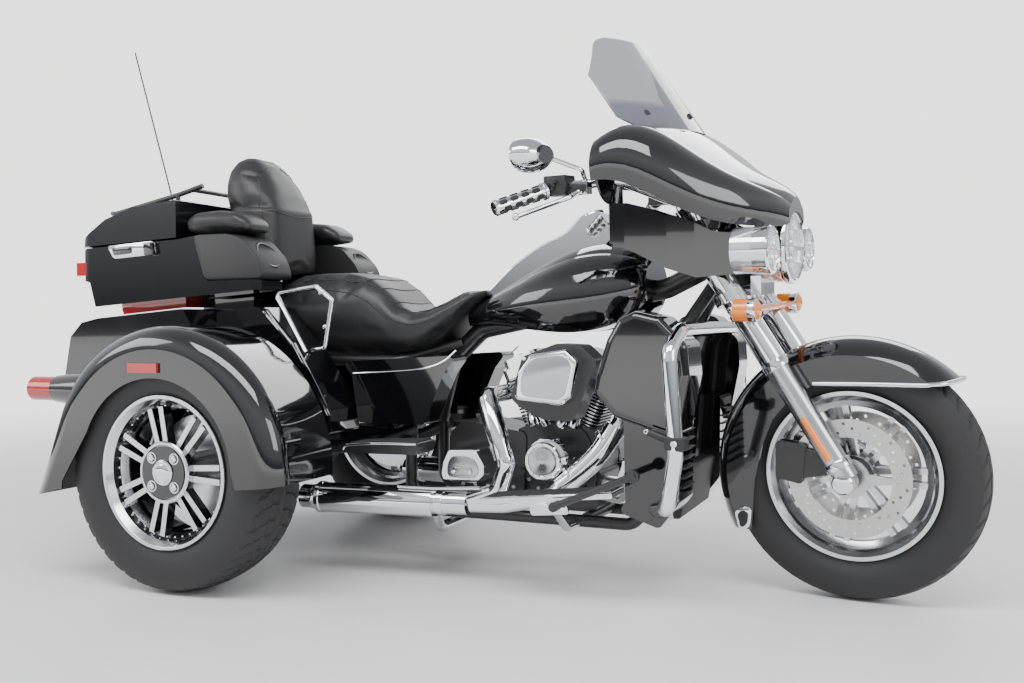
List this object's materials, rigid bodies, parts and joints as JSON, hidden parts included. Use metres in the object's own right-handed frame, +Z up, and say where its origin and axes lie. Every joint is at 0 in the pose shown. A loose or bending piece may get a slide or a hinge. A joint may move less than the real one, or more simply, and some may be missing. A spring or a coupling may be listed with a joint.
{
  "type": "motorized touring trike",
  "caption": "Full-dress touring trike with V-twin engine, forked front wheel under a fairing, wide rear fenders, lidded top box and rear trunk door.",
  "frame": {"origin": "on the ground, under the middle of the bounding box", "axes": "+X forward, +Y left, +Z up; the front wheel rests turned 7.7 degrees to the right"},
  "size_m": [2.9561, 1.406, 1.7448],
  "materials": {
    "gloss_black": "gloss clear coat",
    "satin_black": "satin",
    "chrome": "bright polished",
    "bright_wheel": "machined faces",
    "tyre": "road tread",
    "steel": "ground",
    "fin_black": "black with bright fin edges",
    "satin_alloy": "satin",
    "black_plastic": "fine grain",
    "vinyl": "smooth black vinyl",
    "smoked_screen": "smoked",
    "red_lens": "moulded lens",
    "amber_lens": "moulded lens",
    "lamp": "clear lens in a bright ring"
  },
  "bodies": {
    "chassis": {"frame": "satin_black", "rear_axle": "satin_black", "engine_cases": "satin_black", "cylinders": "fin_black", "rocker_covers": "chrome", "rod_tubes": "chrome", "air_cleaner_housing": "satin_black", "air_cleaner_cover": "chrome", "engine_side_covers": "chrome", "primary_cover": "chrome", "exhaust_headers": "chrome", "mufflers": "chrome", "lower_fairings": "gloss_black", "chin_fairing": "black_plastic", "engine_guard": "chrome", "rider_footboards": "chrome", "foot_controls": "satin_black", "passenger_footboards": "satin_black", "fuel_tank": "gloss_black", "tank_console": "chrome", "seat": "vinyl", "rear_body": "gloss_black", "rear_fenders": "gloss_black", "side_covers": "gloss_black", "seat_rails": "chrome", "top_box_base": "gloss_black", "rear_lamps": "red_lens", "aerial": "satin_black", "backrest": "vinyl", "speaker_pods": "black_plastic"},
    "box_lid": {"top_box_lid": "gloss_black", "luggage_rack": "satin_black"},
    "trunk_door": {"trunk_door": "gloss_black"},
    "steering": {"fork": "satin_alloy", "front_fender": "gloss_black", "front_calipers": "satin_black", "fairing": "gloss_black", "inner_fairing": "gloss_black", "windshield": "smoked_screen", "headlamps": "lamp", "turn_signals": "amber_lens", "handlebar": "chrome", "mirrors": "chrome"},
    "front_wheel": {"front_rim": "bright_wheel", "front_tyre": "tyre", "front_discs": "steel"},
    "rear_wheel_right": {"rear_rim_right": "bright_wheel", "rear_tyre_right": "tyre"},
    "rear_wheel_left": {"rear_rim_left": "bright_wheel", "rear_tyre_left": "tyre"}
  },
  "joints": [
    {"name": "steering", "type": "hinge", "parent": "chassis", "child": "steering", "pos_m": [0.83004, 0, 0.9], "axis": [-0.4384, 0, 0.8988], "range_deg": [-22, 38]},
    {"name": "front_wheel_spin", "type": "hinge", "parent": "steering", "child": "front_wheel", "pos_m": [1.15866, -0.00555, 0.31984], "axis": [0.1204, 0.991, 0.0587], "continuous": true},
    {"name": "rear_wheel_right_spin", "type": "hinge", "parent": "chassis", "child": "rear_wheel_right", "pos_m": [-0.511, -0.572, 0.323], "axis": [0, 1, 0], "continuous": true},
    {"name": "rear_wheel_left_spin", "type": "hinge", "parent": "chassis", "child": "rear_wheel_left", "pos_m": [-0.511, 0.572, 0.323], "axis": [0, 1, 0], "continuous": true},
    {"name": "trunk_door_hinge", "type": "hinge", "parent": "chassis", "child": "trunk_door", "pos_m": [-1.104, 0, 0.409], "axis": [0, -1, 0], "range_deg": [0, 85]},
    {"name": "top_box_lid_hinge", "type": "hinge", "parent": "chassis", "child": "box_lid", "pos_m": [-0.956, 0.312, 0.968], "axis": [-1, 0, 0], "range_deg": [0, 80]}
  ]
}
